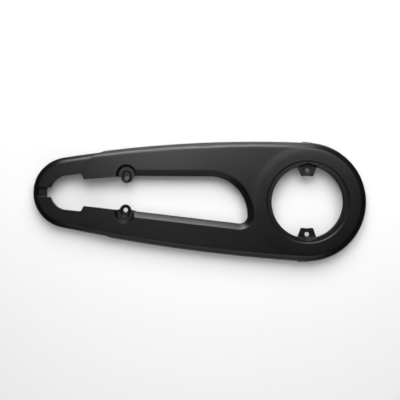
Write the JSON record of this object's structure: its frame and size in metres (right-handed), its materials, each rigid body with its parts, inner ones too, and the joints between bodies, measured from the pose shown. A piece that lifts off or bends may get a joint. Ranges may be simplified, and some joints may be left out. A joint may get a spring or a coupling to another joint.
{
  "type": "bicycle chain guard",
  "caption": "Moulded plastic shell with two round ends joined by bowed arms, an open window between the chain runs and a crank opening, to cover a bicycle's chain.",
  "frame": {"origin": "on the crank axis, in the plane of the rim that faces the bicycle", "axes": "+X to the front of the bicycle, +Y up on the bicycle, +Z outwards along the crank axis"},
  "size_m": [0.4013, 0.1466, 0.0245],
  "materials": {
    "black_plastic": "satin moulded"
  },
  "bodies": {
    "root": {"chain_guard": "black_plastic"}
  },
  "joints": []
}
